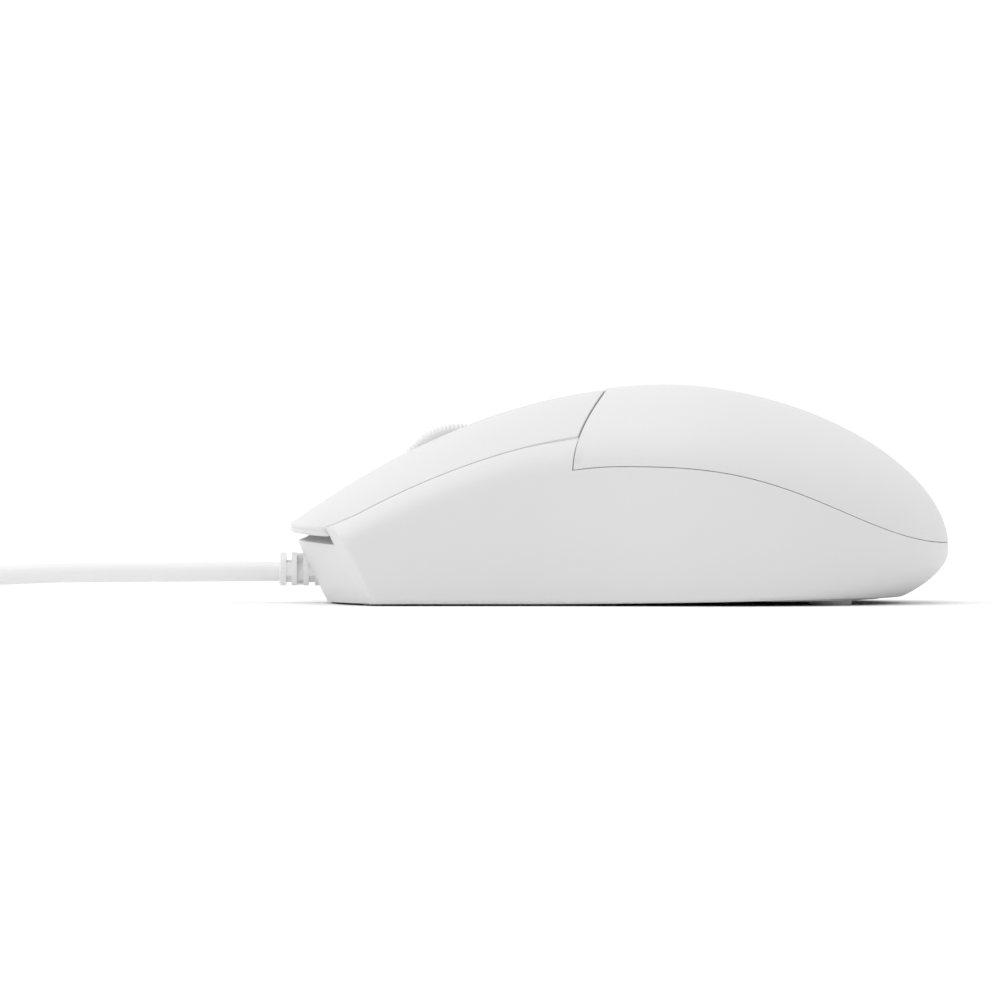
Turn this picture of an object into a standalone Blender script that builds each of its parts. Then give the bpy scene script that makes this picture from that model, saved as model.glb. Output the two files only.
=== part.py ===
"""A wired three-button optical mouse, built as an assembly of its real pieces.

The cable end points along -X, the mouse's left side faces -Y and +Z is up.
The feet stand on z = 0. Sizes below are in millimetres and the scene is in metres.
"""
import math

import bmesh
import bpy
import numpy as np
from mathutils import Vector

MM = 0.001

# ---- driving dimensions of the body ----
FRONT_TIP_X = -58.3      # tips of the two button plates, at the centre line
REAR_X = 58.3
CREST_X = 9.0            # highest point of the back
CREST_Z = 38.7
LIP_DROP = 24.6          # how far the front tip lies below the crest
REAR_EDGE_Z = 10.5
REAR_POWER = 1.82
HALF_WIDTH = 31.0        # widest, at WIDE_X
WIDE_X = 18.0
WAIST = 27.6             # half width from the waist forward
NOSE_X = -56.8           # front wall under the buttons
NOSE_RUN = 14.5          # length over which the front wall turns into the sides
NOSE_POWER = 2.35
CORNER_X = -49.2          # where the shoulder ends and the front wall begins
TAIL_POWER = 2.2
LIP_SWEEP = 7.5          # how far the button tips sweep back from centre to corner
SEAM_X = -2.1            # seam between buttons and palm cover, at the centre line
SEAM_SWEEP = 6.6
EDGE_SHARE = 0.90        # buttons reach this share of the half width
WALL = 1.8
SEAM_GAP = 0.35
STRIP_HALF = 5.4         # centre strip between the buttons
STRIP_SUNK = 0.8

# ---- driving dimensions of the mechanism ----
WHEEL_X = -28.5
WHEEL_Z = 20.5
WHEEL_R = 11.4
WHEEL_TEETH = 88
TYRE_HALF = 3.4
SLOT_HALF = 4.2
SLOT_X0 = -41.0
SLOT_X1 = -16.8
CRADLE_PIVOT = (-11.0, 0.0, 10.4)
BUTTON_PIVOT = (-5.0, 0.0, 31.0)
BASE_Z0 = 0.8
BASE_Z1 = 2.3
BOARD_Z0 = 4.6
BOARD_Z1 = 6.2
SWITCH_X = -41.0
SWITCH_Y = 14.6
MIDDLE_X = -41.2
SWITCH_TOP = 12.6
PLUNGER_TOP = 14.2
MIDDLE_TIP = 13.4
CABLE_Z = 5.6
CABLE_D = 3.5
RELIEF_TIP_X = -60.2
COIL_X = -150.0
COIL_Y = 22.0
COIL_INNER_R = 12.0      # fourteen turns in four layers
COIL_OUTER_R = 26.4
COIL_Z0 = 0.75
COIL_Z1 = 13.1
PLUG_X = -210.6          # back face of the plug's metal, at the overmould's front
PLUG_Y = 6.0
PLUG_Z = 3.6


def clear_scene():
    for old in list(bpy.data.objects):
        bpy.data.objects.remove(old, do_unlink=True)


def material(name, colour, roughness, metallic=0.0, transmission=0.0):
    made = bpy.data.materials.new(name)
    made.use_nodes = True
    shader = made.node_tree.nodes["Principled BSDF"]
    shader.inputs["Base Color"].default_value = (*colour, 1.0)
    shader.inputs["Roughness"].default_value = roughness
    shader.inputs["Metallic"].default_value = metallic
    shader.inputs["Transmission Weight"].default_value = transmission
    return made


def add_mesh(name, points, faces, look, origin=(0.0, 0.0, 0.0)):
    """Points are in millimetres. The object's origin goes to the given point."""
    shift = np.array(origin, float)
    mesh = bpy.data.meshes.new(name)
    mesh.from_pydata([tuple((np.array(p) - shift) * MM) for p in points], [], faces)
    work = bmesh.new()
    work.from_mesh(mesh)
    bmesh.ops.remove_doubles(work, verts=work.verts, dist=1e-6)
    bmesh.ops.recalc_face_normals(work, faces=work.faces)
    if work.calc_volume(signed=True) < 0:
        bmesh.ops.reverse_faces(work, faces=work.faces)
    work.to_mesh(mesh)
    work.free()
    made = bpy.data.objects.new(name, mesh)
    made.location = [v * MM for v in origin]
    made.data.materials.append(look)
    bpy.context.scene.collection.objects.link(made)
    return made


def boolean(target, tool, operation):
    """A live Boolean with a wire cutter, which stays hidden in the render."""
    step = target.modifiers.new(operation.lower() + "_" + tool.name, "BOOLEAN")
    step.operation = operation
    step.solver = "EXACT"
    step.object = tool
    tool.hide_render = True
    tool.display_type = "WIRE"


# ---- the master surface of the body ----
def smooth(v):
    v = min(1.0, max(0.0, v))
    return v * v * (3.0 - 2.0 * v)


def ridge(x):
    """Height of the centre line of the top."""
    if x < CREST_X:
        return CREST_Z - LIP_DROP * ((CREST_X - x) / (CREST_X - FRONT_TIP_X)) ** 2
    reach = min(1.0, (x - CREST_X) / (REAR_X - CREST_X))
    return REAR_EDGE_Z + (CREST_Z - REAR_EDGE_Z) * (1.0 - reach**REAR_POWER) ** (1.0 / REAR_POWER)


def equator(x):
    """Height at which the rounded top turns into the side wall."""
    if x < -1.0:
        return max(9.0, 24.0 - 14.8 * ((-1.0 - x) / 49.0) ** 1.7)
    reach = min(1.0, (x + 1.0) / 59.3)
    return 24.0 - 13.5 * math.sin(0.5 * math.pi * reach**1.45) ** 2


def half_width(x):
    if x >= WIDE_X:
        reach = min(1.0, (x - WIDE_X) / (REAR_X - WIDE_X))
        return HALF_WIDTH * (1.0 - reach**TAIL_POWER) ** (1.0 / TAIL_POWER)
    reach = min(1.0, (WIDE_X - x) / 36.0)
    return WAIST + (HALF_WIDTH - WAIST) * math.cos(0.5 * math.pi * reach) ** 2


def top_height(x, y):
    """Height of the outer skin of the top at a plan position."""
    wide = max(half_width(x), 1e-6)
    share = min(1.0, abs(y) / wide)
    level = min(equator(x), ridge(x))
    return level + (ridge(x) - level) * math.sqrt(1.0 - share * share)


def seam_x(y, x_near=-6.0):
    """Seam between buttons and palm cover."""
    return SEAM_X - SEAM_SWEEP * min(1.0, abs(y) / half_width(x_near)) ** 2


def lip_x(y):
    return FRONT_TIP_X + LIP_SWEEP * (abs(y) / WAIST) ** 2


def edge_y(x):
    """Outer edge of a button plate. It draws in a little at the front corner."""
    return EDGE_SHARE * half_width(x) - 0.7 * smooth((-46.0 - x) / 5.0)


def outline():
    """The widest outline of the body in plan, from the nose round the left side and back."""
    start = NOSE_X + NOSE_RUN
    left = []
    for i in range(11):
        turn = 0.5 * math.pi * i / 10
        x = start - NOSE_RUN * math.cos(turn) ** (2.0 / NOSE_POWER)
        left.append((x, half_width(x) * math.sin(turn) ** (2.0 / NOSE_POWER)))
    for x in (-40.0, -35.0, -30.0, -25.0, -20.0, -16.0, -12.0, -9.0, -8.78):
        left.append((x, half_width(x)))
    for x in (-4.0, 1.0, 6.0, 12.0):
        left.append((x, half_width(x)))
    for i in range(13):
        turn = 0.5 * math.pi * i / 12
        x = WIDE_X + (REAR_X - WIDE_X) * math.sin(turn) ** (2.0 / TAIL_POWER)
        left.append((x, HALF_WIDTH * max(0.0, math.cos(turn)) ** (2.0 / TAIL_POWER)))
    left = sorted(left + [(x, corner_y(x)) for x in (CORNER_X + 0.15, CORNER_X - 0.15)])
    near = [(x, -y) for x, y in left]
    far = [(x, y) for x, y in reversed(left[1:-1])]
    return near + far


def corner_y(x):
    back = (NOSE_X + NOSE_RUN - x) / NOSE_RUN
    return half_width(x) * (1.0 - back**NOSE_POWER) ** (1.0 / NOSE_POWER)


def outward(x, y):
    """Outward normal of the widest outline in plan."""
    start = NOSE_X + NOSE_RUN
    wide = max(half_width(x), 1e-6)
    if x < start:
        nx = -(((start - x) / NOSE_RUN) ** (NOSE_POWER - 1)) / NOSE_RUN
        ny = (abs(y) / wide) ** (NOSE_POWER - 1) / wide
    elif x > WIDE_X:
        run = REAR_X - WIDE_X
        nx = ((x - WIDE_X) / run) ** (TAIL_POWER - 1) / run
        ny = (abs(y) / HALF_WIDTH) ** (TAIL_POWER - 1) / HALF_WIDTH
    else:
        nx = -(half_width(x + 0.1) - half_width(x - 0.1)) / 0.2
        ny = 1.0
    size = math.hypot(nx, ny)
    return nx / size, math.copysign(ny / size, y) if abs(y) > 1e-6 else 0.0


# Sections of the lower body as (inset from the outline, height), from the bottom up.
def side_rows(x):
    low = 0.5 + 1.2 * smooth((x + 17.0) / 67.0)
    top = equator(x)
    outer = [(1.9, low), (1.2, low), (0.85, low + 0.4), (0.7, low + 1.2)]
    outer += [(0.45, 0.4 * top), (0.15, 0.75 * top), (0.0, top - 0.5)]
    inner = [(1.8, top - 0.6), (1.95, 0.75 * top), (2.2, 0.42 * top), (2.45, low + 1.9)]
    inner += [(2.4, low + 0.9)]
    return outer, inner


def front_rows(x):
    outer = [(6.9, 0.5), (5.9, 0.5), (5.4, 1.0), (4.6, 2.2)]
    outer += [(2.9, 5.2), (1.2, 8.3), (0.0, 10.4)]
    inner = [(2.2, 9.5), (2.9, 8.6), (4.5, 6.0), (6.1, 3.2), (7.2, 1.5)]
    return outer, inner


def rear_rows(x):
    top = equator(x)
    outer = [(11.3, 1.2), (10.3, 1.2), (7.6, 1.7), (4.0, 3.3)]
    outer += [(1.4, 5.4), (0.1, 7.8), (0.0, top - 0.5)]
    inner = [(1.8, top - 0.6), (1.95, 8.2), (2.9, 6.4), (5.0, 4.9), (11.0, 2.9)]
    return outer, inner


def mixed(rows, weights):
    return [
        tuple(sum(w * row[i][k] for w, row in zip(weights, rows)) for k in (0, 1))
        for i in range(len(rows[0]))
    ]


def rim_rows(x, y, normal, ahead):
    """Top rows of the side shell. They are points in space, outer edge first."""
    nx, ny = normal
    if ahead:
        front = smooth((-nx - 0.35) / 0.6)
        level = equator(x) + (10.4 - equator(x)) * front
        share = 0.3 + 0.7 * front
        rows = [(0.35 * share, 0.45), (share, 0.75), (2.0 * share, 0.8), (2.1 * share, -0.2)]
        return [(x - nx * front * a, y - ny * a, level + b) for a, b in rows]
    if x < -8.9:
        side = -1.0 if y < 0 else 1.0
        wide = half_width(x)
        fade = smooth((x + 18.0) / 8.0)
        rows = []
        for share in (0.975, 0.945, (edge_y(x) + SEAM_GAP) / wide):
            px = x + fade * SEAM_SWEEP * (1.0 - share**2)
            py = min(wide * share, abs(y))
            drop = math.sqrt(1.0 - share**2)
            level = equator(x)
            rows.append((px, side * py, level + (ridge(x) - level) * drop))
        px, py, pz = rows[-1]
        rows.append((px, py, pz - 2.5))
        return rows
    level = equator(x) - 0.15
    rows = [(0.05, 0.0), (0.6, 0.0), (1.2, 0.0), (1.75, 0.0)]
    return [(x - nx * a, y - ny * a, level + b) for a, b in rows]


def shell_sections():
    plan = outline()
    sections = []
    for x, y in plan:
        nx, ny = outward(x, y)
        front = smooth((-nx - 0.35) / 0.6)
        rear = smooth((nx - 0.2) / 0.7)
        weights = (1.0 - front - rear, front, rear)
        rows = [side_rows(x), front_rows(x), rear_rows(x)]
        outer = mixed([r[0] for r in rows], weights)
        inner = mixed([r[1] for r in rows], weights)
        around = [(x - nx * a, y - ny * a, z) for a, z in outer]
        around += rim_rows(x, y, (nx, ny), x < CORNER_X)
        around += [(x - nx * a, y - ny * a, z) for a, z in inner]
        sections.append(around)
    return sections


def loft_ring(name, sections, look):
    """A closed ring through sections that all hold the same number of points."""
    many, each = len(sections), len(sections[0])
    points = [p for section in sections for p in section]
    faces = []
    for i in range(many):
        j = (i + 1) % many
        for k in range(each):
            m = (k + 1) % each
            faces.append((i * each + k, i * each + m, j * each + m, j * each + k))
    return add_mesh(name, points, faces, look)


def solid_from_skin(name, outer, inner, faces, look, origin=(0.0, 0.0, 0.0)):
    """Closes two matching skins with a rim along every open edge."""
    count = len(outer)
    first = {}
    same = [first.setdefault(tuple(round(v, 4) for v in p), i) for i, p in enumerate(outer)]
    faces = [tuple(dict.fromkeys(same[v] for v in face)) for face in faces]
    faces = [face for face in faces if len(face) > 2]
    edges = {}
    for face in faces:
        for a, b in zip(face, face[1:] + face[:1]):
            edges[(a, b)] = edges.get((a, b), 0) + 1
    every = list(faces) + [tuple(v + count for v in reversed(face)) for face in faces]
    for a, b in edges:
        if (b, a) not in edges:
            every.append((b, a, a + count, b + count))
    return add_mesh(name, list(outer) + list(inner), every, look, origin)


def grid_faces(columns, rows, skip=()):
    faces = []
    for i in range(columns - 1):
        for j in range(rows - 1):
            if (i, j) not in skip:
                a = i * rows + j
                faces.append((a, a + 1, a + rows + 1, a + rows))
    return faces


def top_normal(x, y):
    step = 0.05
    dx = (top_height(x + step, y) - top_height(x - step, y)) / (2 * step)
    dy = (top_height(x, y + step) - top_height(x, y - step)) / (2 * step)
    return np.array([-dx, -dy, 1.0]) / math.sqrt(dx * dx + dy * dy + 1.0)


# ---- simple solids ----
def box(name, low, high, look, origin=(0.0, 0.0, 0.0)):
    points = [(x, y, z) for x in (low[0], high[0]) for y in (low[1], high[1]) for z in (low[2], high[2])]
    faces = [(0, 1, 3, 2), (4, 6, 7, 5), (0, 4, 5, 1), (2, 3, 7, 6), (0, 2, 6, 4), (1, 5, 7, 3)]
    return add_mesh(name, points, faces, look, origin)


def turned(name, profile, centre, axis, look, steps=24, origin=(0.0, 0.0, 0.0), ring=False):
    """A solid of revolution. Profile points are (distance along the axis, radius)."""
    points, faces = [], []
    for i in range(steps):
        turn = 2 * math.pi * i / steps
        c, s = math.cos(turn), math.sin(turn)
        for along, radius in profile:
            flat = {"x": (along, radius * c, radius * s), "y": (radius * c, along, radius * s)}
            flat["z"] = (radius * c, radius * s, along)
            points.append(tuple(a + b for a, b in zip(centre, flat[axis])))
    each = len(profile)
    for i in range(steps):
        j = (i + 1) % steps
        for k in range(each if ring else each - 1):
            m = (k + 1) % each
            faces.append((i * each + k, i * each + m, j * each + m, j * each + k))
    if not ring:
        faces.append(tuple(i * each for i in range(steps)))
        faces.append(tuple(i * each + each - 1 for i in reversed(range(steps))))
    return add_mesh(name, points, faces, look, origin)


def prism(name, shape, low, high, look, axis="z", origin=(0.0, 0.0, 0.0)):
    """A flat shape pushed from low to high along z, or along y when the shape is in x and z."""
    points = []
    for level in (low, high):
        for a, b in shape:
            points.append((a, b, level) if axis == "z" else (a, level, b))
    count = len(shape)
    faces = [tuple(range(count)), tuple(range(2 * count - 1, count - 1, -1))]
    faces += [(i, (i + 1) % count, (i + 1) % count + count, i + count) for i in range(count)]
    return add_mesh(name, points, faces, look, origin)


def stadium(cx, cy, length, width, steps=6):
    radius = 0.5 * min(length, width)
    run_x, run_y = 0.5 * length - radius, 0.5 * width - radius
    shape = []
    for k, (sx, sy) in enumerate(((1, 1), (-1, 1), (-1, -1), (1, -1))):
        for i in range(steps + 1):
            turn = 0.5 * math.pi * (k + i / steps)
            px = cx + sx * run_x + radius * math.cos(turn)
            shape.append((px, cy + sy * run_y + radius * math.sin(turn)))
    return shape


def tube(name, path, diameter, look, sides=2):
    """A round cord through a path, as a curve with a bevel and filled ends."""
    data = bpy.data.curves.new(name, "CURVE")
    data.dimensions = "3D"
    data.bevel_depth = 0.5 * diameter * MM
    data.bevel_resolution = sides
    data.use_fill_caps = True
    line = data.splines.new("POLY")
    line.points.add(len(path) - 1)
    for point, place in zip(line.points, path):
        point.co = (*(v * MM for v in place), 1.0)
    made = bpy.data.objects.new(name, data)
    made.data.materials.append(look)
    bpy.context.scene.collection.objects.link(made)
    return made


def eased(knots, spacing):
    """Points along a smooth path through the knots, about one per spacing."""
    knots = [Vector(k) for k in knots]
    knots = [2 * knots[0] - knots[1]] + knots + [2 * knots[-1] - knots[-2]]
    path = []
    for i in range(1, len(knots) - 2):
        a, b, c, d = knots[i - 1 : i + 3]
        steps = max(1, round((c - b).length / spacing))
        for k in range(steps):
            t = k / steps
            path.append(
                0.5 * ((2 * b) + (c - a) * t + (2 * a - 5 * b + 4 * c - d) * t**2
                       + (3 * b - a - 3 * c + d) * t**3)
            )
    path.append(knots[-2])
    return [tuple(p) for p in path]


# ---- body ----
def build_side_shell(look):
    shell = loft_ring("side_shell", shell_sections(), look)
    for side, word in ((-1, "near"), (1, "far")):
        boss = turned(f"boss_{word}", [(2.9, 2.4), (12.0, 2.4)], (-33.0, side * 21.2, 0.0), "z", look, 16)
        boolean(shell, boss, "UNION")
        low_y, high_y = sorted((side * 22.6, side * 26.0))
        web = box(f"boss_web_{word}", (-34.1, low_y, 3.4), (-31.9, high_y, 11.3), look)
        boolean(shell, web, "UNION")
    for side, word in ((-1, "near"), (1, "far")):
        hole = turned(f"boss_hole_{word}", [(2.0, 1.25), (10.0, 1.25)], (-33.0, side * 21.2, 0.0),
                      "z", look, 12)
        boolean(shell, hole, "DIFFERENCE")
    mouth = turned("relief_hole", [(-70.0, 3.35), (-44.0, 3.35)], (0.0, 0.0, CABLE_Z), "x", look, 24)
    boolean(shell, mouth, "DIFFERENCE")
    return shell


def build_palm_cover(look):
    rays = []
    for i in range(21):
        share = math.sin(0.5 * math.pi * (i - 10) / 10)
        y = share * half_width(-6.0) * 0.998
        rays.append(((7.0, 0.0), (SEAM_X - SEAM_SWEEP * share**2 + 0.15, y), abs(share) > 0.999))
    side = [(x, half_width(x)) for x in (-4.0, 1.0, 6.0, 12.0)]
    for i in range(13):
        turn = 0.5 * math.pi * i / 12
        x = WIDE_X + (REAR_X - WIDE_X) * math.sin(turn) ** (2.0 / TAIL_POWER)
        side.append((x, HALF_WIDTH * max(0.0, math.cos(turn)) ** (2.0 / TAIL_POWER)))
    for x, y in side[:-1]:
        rays.append(((min(34.0, max(7.0, x)), 0.0), (x, y), True))
    rays.append(((34.0, 0.0), side[-1], True))
    for x, y in reversed(side[:-1]):
        rays.append(((min(34.0, max(7.0, x)), 0.0), (x, -y), True))
    rings = 8
    outer, inner = [], []
    for (sx, sy), (ex, ey), seated in rays:
        for k in range(rings + 1):
            reach = math.sin(0.5 * math.pi * k / rings)
            x, y = sx + (ex - sx) * reach, sy + (ey - sy) * reach
            z = top_height(x, y)
            if k == rings and seated:
                z = equator(x) + 0.15
                out = np.array([*outward(x, y), 0.0])
            else:
                out = top_normal(x, y)
            outer.append((x, y, z))
            inner.append(tuple(np.array([x, y, z]) - WALL * out))
    rows = rings + 1
    faces = []
    for i in range(len(rays)):
        j = (i + 1) % len(rays)
        for k in range(rings):
            faces.append((i * rows + k, i * rows + k + 1, j * rows + k + 1, j * rows + k))
    cover = solid_from_skin("palm_cover", outer, inner, faces, look)
    boss = turned("rear_boss", [(2.9, 2.6), (32.5, 2.6)], (*CASE_SCREWS[2], 0.0), "z", look, 16)
    boolean(cover, boss, "UNION")
    hole = turned("rear_boss_hole", [(2.0, 1.25), (12.0, 1.25)], (*CASE_SCREWS[2], 0.0), "z", look, 12)
    boolean(cover, hole, "DIFFERENCE")
    return cover


def plate_points(side):
    columns, rows = 15, 8
    outer, inner = [], []
    for i in range(columns):
        for j in range(rows):
            v = j / (rows - 1)
            y = (STRIP_HALF + SEAM_GAP) * (1 - v) + v * EDGE_SHARE * WAIST
            wide = y + v * EDGE_SHARE * (half_width(-7.5) - WAIST)
            x0, x1 = lip_x(y), seam_x(wide) - 0.2
            x = x0 + (x1 - x0) * i / (columns - 1)
            y += v * (edge_y(x) - EDGE_SHARE * WAIST)
            z = top_height(x, y)
            drop = 1.7 / max(0.55, top_normal(x, y)[2])
            outer.append((x, side * y, z))
            inner.append((x, side * y, z - drop))
    return columns, rows, outer, inner


def build_button(name, side, look):
    columns, rows, outer, inner = plate_points(side)
    plate = solid_from_skin(name, outer, inner, grid_faces(columns, rows), look, BUTTON_PIVOT)
    y = side * SWITCH_Y
    x = SWITCH_X + 3.0
    under = top_height(x, y) - 1.2
    post = box(name + "_post", (x - 1.4, y - 1.6, PLUNGER_TOP + 0.05), (x + 1.4, y + 1.6, under), look)
    boolean(plate, post, "UNION")
    arm_y = side * 13.0
    under = top_height(-9.0, 15.3) - 1.1
    tongue = prism(
        name + "_tongue",
        [(-13.0, under), (-13.0, under - 3.2), (-4.0, 29.9), (-3.2, 30.6), (-3.2, 31.4), (-4.0, 32.0),
         (-9.6, under)],
        arm_y - 2.3, arm_y + 2.3, look, "y",
    )
    boolean(plate, tongue, "UNION")
    return plate


def build_centre_strip(look):
    xs = [FRONT_TIP_X, -55.0, -51.0, -46.0, SLOT_X0, -37.0, -33.0, -29.0, -25.0, -21.0, SLOT_X1]
    xs += [-12.0, -7.0, -2.6]
    ys = [-STRIP_HALF, -SLOT_HALF, 0.0, SLOT_HALF, STRIP_HALF]
    outer = [(x, y, top_height(x, y) - STRIP_SUNK) for x in xs for y in ys]
    inner = [(x, y, z - 1.5) for x, y, z in outer]
    first, last = xs.index(SLOT_X0), xs.index(SLOT_X1)
    skip = {(i, j) for i in range(first, last) for j in (1, 2)}
    strip = solid_from_skin("centre_strip", outer, inner, grid_faces(len(xs), len(ys), skip), look)
    nose = prism(
        "strip_nose",
        [(-57.9, 12.6), (-57.4, 11.7), (-56.0, 11.45), (-52.6, 11.45), (-52.6, 15.5), (-54.6, 14.4)],
        -3.6, 3.6, look, "y",
    )
    boolean(strip, nose, "UNION")
    return strip


def base_outline():
    plan = outline()
    shape = []
    for x, y in plan:
        nx, ny = outward(x, y)
        front = smooth((-nx - 0.35) / 0.6)
        rear = smooth((nx - 0.2) / 0.7)
        inset = (1.0 - front - rear) * 3.4 + front * 9.0 + rear * 12.0
        inset += 2.5 * front * (1.0 - front)
        shape.append((x - nx * inset, y - ny * inset))
    return [p for i, p in enumerate(shape) if i % 2 == 0]


def build_base(look):
    base = prism("base_plate", base_outline(), BASE_Z0, BASE_Z1, look)
    for k, (x, y) in enumerate(BOARD_SCREWS):
        post = turned(f"standoff_{k}", [(1.9, 2.3), (BOARD_Z0 - 0.1, 2.3)], (x, y, 0.0), "z", look, 16)
        boolean(base, post, "UNION")
        hole = turned(f"standoff_hole_{k}", [(1.7, 1.15), (8.0, 1.15)], (x, y, 0.0), "z", look, 12)
        boolean(base, hole, "DIFFERENCE")
    for k, (x, y) in enumerate(CASE_SCREWS):
        steps = [(0.0, 2.7), (1.75, 2.7), (1.75, 1.4), (4.0, 1.4)]
        hole = turned(f"case_hole_{k}", steps, (x, y, 0.0), "z", look, 16)
        boolean(base, hole, "DIFFERENCE")
    window = prism("sensor_window", stadium(-1.0, 0.0, 11.0, 7.4, 4), 0.0, 4.0, look)
    boolean(base, window, "DIFFERENCE")
    return base


BOARD_SCREWS = ((-12.0, -14.6), (-12.0, 14.6), (16.0, 0.0))
CASE_SCREWS = ((-33.0, -21.2), (-33.0, 21.2), (33.0, 0.0))
FEET = (("foot_front_left", -41.5, -14.0), ("foot_front_right", -41.5, 14.0),
        ("foot_rear_left", 37.0, -12.0), ("foot_rear_right", 37.0, 12.0))


# ---- wheel ----
def build_tyre(look):
    steps = 2 * WHEEL_TEETH
    sections = []
    for i in range(steps):
        turn = 2 * math.pi * i / steps
        outer = WHEEL_R if i % 2 == 0 else WHEEL_R - 0.35
        shape = [(-TYRE_HALF, 8.5), (TYRE_HALF, 8.5), (TYRE_HALF, 10.4), (2.4, outer), (-2.4, outer)]
        shape.append((-TYRE_HALF, 10.4))
        sections.append(
            [(WHEEL_X + r * math.cos(turn), a, WHEEL_Z + r * math.sin(turn)) for a, r in shape]
        )
    return loft_ring("wheel_tyre", sections, look)


def build_hub(look):
    cells = 18
    rings = ((1.35, 4.0), (2.9, 4.0), (3.2, 0.8), (4.2, 0.8), (6.6, 0.8), (7.0, 0.8), (7.2, 3.1),
             (8.3, 3.1))
    outer, inner = [], []
    for i in range(2 * cells):
        turn = math.pi * (i + 0.25 * (-1) ** i) / cells
        for radius, half in rings:
            x, z = WHEEL_X + radius * math.cos(turn), WHEEL_Z + radius * math.sin(turn)
            outer.append((x, half, z))
            inner.append((x, -half, z))
    rows = len(rings)
    faces = []
    for i in range(2 * cells):
        j = (i + 1) % (2 * cells)
        for k in range(rows - 1):
            if not (k == 3 and i % 2 == 0):
                faces.append((i * rows + k, i * rows + k + 1, j * rows + k + 1, j * rows + k))
    return solid_from_skin("wheel_hub", outer, inner, faces, look, (WHEEL_X, 0.0, WHEEL_Z))


def build_cradle(look):
    px, _, pz = CRADLE_PIVOT
    arm = [(px - 2.0, pz + 2.0), (px + 2.0, pz + 2.0), (px + 2.0, pz - 2.0), (px - 2.0, pz - 2.0),
           (-25.5, 14.4), (-27.8, 17.7), (-34.0, 17.7), (-37.6, 14.0), (-44.0, 14.0), (-44.0, 16.2),
           (-39.2, 16.2),
           (-33.0, 24.4), (-25.0, 24.4), (-20.5, 18.0)]
    cradle = prism("wheel_cradle", arm, -6.4, -5.2, look, "y", CRADLE_PIVOT)
    other = prism("cradle_arm", arm, 5.2, 6.4, look, "y", CRADLE_PIVOT)
    boolean(cradle, other, "UNION")
    bar = box("cradle_bar", (-43.8, -6.0, 14.2), (-39.9, 6.0, 16.0), look)
    boolean(cradle, bar, "UNION")
    rear = box("cradle_rear", (px - 1.7, -6.0, pz - 1.7), (px + 1.7, 6.0, pz + 1.7), look)
    boolean(cradle, rear, "UNION")
    foot = turned("cradle_foot", [(MIDDLE_TIP + 0.05, 1.2), (14.8, 1.2)], (MIDDLE_X, 0.0, 0.0),
                  "z", look, 12)
    boolean(cradle, foot, "UNION")
    pin = turned("cradle_pin_hole", [(-8.0, 1.05), (8.0, 1.05)], (px, 0.0, pz), "y", look, 12)
    boolean(cradle, pin, "DIFFERENCE")
    hole = turned("cradle_axle_hole", [(-8.0, 1.35), (8.0, 1.35)], (WHEEL_X, 0.0, WHEEL_Z), "y", look, 16)
    boolean(cradle, hole, "DIFFERENCE")
    return cradle


def build_spring(look):
    low, high, turns = BOARD_Z1 + 0.5, 13.6, 6
    path = []
    for i in range(turns * 10 + 1):
        turn = 2 * math.pi * i / 10
        z = low + (high - low) * i / (turns * 10)
        path.append((-41.8 + 1.35 * math.cos(turn), -5.8 + 1.35 * math.sin(turn), z))
    return tube("cradle_spring", path, 0.5, look, 1)


# ---- electronics ----
def build_switch(name, x, y, shell_look, plunger_look):
    small = name == "middle"
    half_x, half_y, top = (3.0, 3.0, 10.0) if small else (6.4, 2.9, SWITCH_TOP)
    tip = MIDDLE_TIP if small else PLUNGER_TOP
    box(name + "_switch", (x - half_x, y - half_y, BOARD_Z1 + 0.05), (x + half_x, y + half_y, top),
        shell_look)
    px = x if small else x + 3.0
    turned(name + "_plunger", [(top + 0.7, 1.0), (tip - 0.2, 1.0), (tip, 0.75)],
           (px, y, 0.0), "z", plunger_look, 12, (px, y, top))


def build_board(looks):
    shape = [(-48.0, -9.0), (-48.0, -16.0), (-46.0, -18.0), (20.0, -18.0), (22.0, -16.0), (22.0, 16.0),
             (20.0, 18.0), (-46.0, 18.0), (-48.0, 16.0), (-48.0, 9.0), (-45.4, 7.0), (-45.4, -7.0)]
    board = prism("main_board", shape, BOARD_Z0, BOARD_Z1, looks["board"])
    for k, (x, y) in enumerate(BOARD_SCREWS):
        hole = turned(f"board_hole_{k}", [(4.0, 1.4), (7.0, 1.4)], (x, y, 0.0), "z", looks["board"], 12)
        boolean(board, hole, "DIFFERENCE")
    box("controller_chip", (1.0, -16.4, BOARD_Z1 + 0.05), (11.0, -10.4, BOARD_Z1 + 1.7), looks["chip"])
    box("sensor_chip", (-6.0, -4.6, BOARD_Z1 + 0.05), (5.0, 4.6, BOARD_Z1 + 2.6), looks["chip"])
    lens = prism("sensor_lens", stadium(-1.0, 0.0, 10.0, 6.4, 4), 1.2, 2.9, looks["lens"])
    flange = box("lens_flange", (-9.0, -5.6, 2.6), (7.0, 5.6, 4.3), looks["lens"])
    boolean(lens, flange, "UNION")
    turned("capacitor", [(BOARD_Z1 + 0.05, 2.5), (13.0, 2.5), (13.4, 2.2)], (14.0, -9.0, 0.0), "z",
           looks["can"], 16)
    box("crystal", (11.0, 6.0, BOARD_Z1 + 0.05), (15.0, 14.0, BOARD_Z1 + 3.4), looks["can"])
    box("cable_connector", (-31.0, 8.2, BOARD_Z1 + 0.05), (-25.0, 17.2, 11.4), looks["plug_white"])
    for name, side in (("ir_emitter", -1), ("ir_detector", 1)):
        y = side * 5.8
        leg = box(name, (-32.0, y - 0.5, BOARD_Z1 + 0.05), (-29.6, y + 0.5, 14.0), looks["led"])
        head = box(name + "_head", (-32.8, y - 1.1, 12.9), (-28.8, y + 1.1, 17.0), looks["led"])
        boolean(leg, head, "UNION")
    return board


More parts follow.
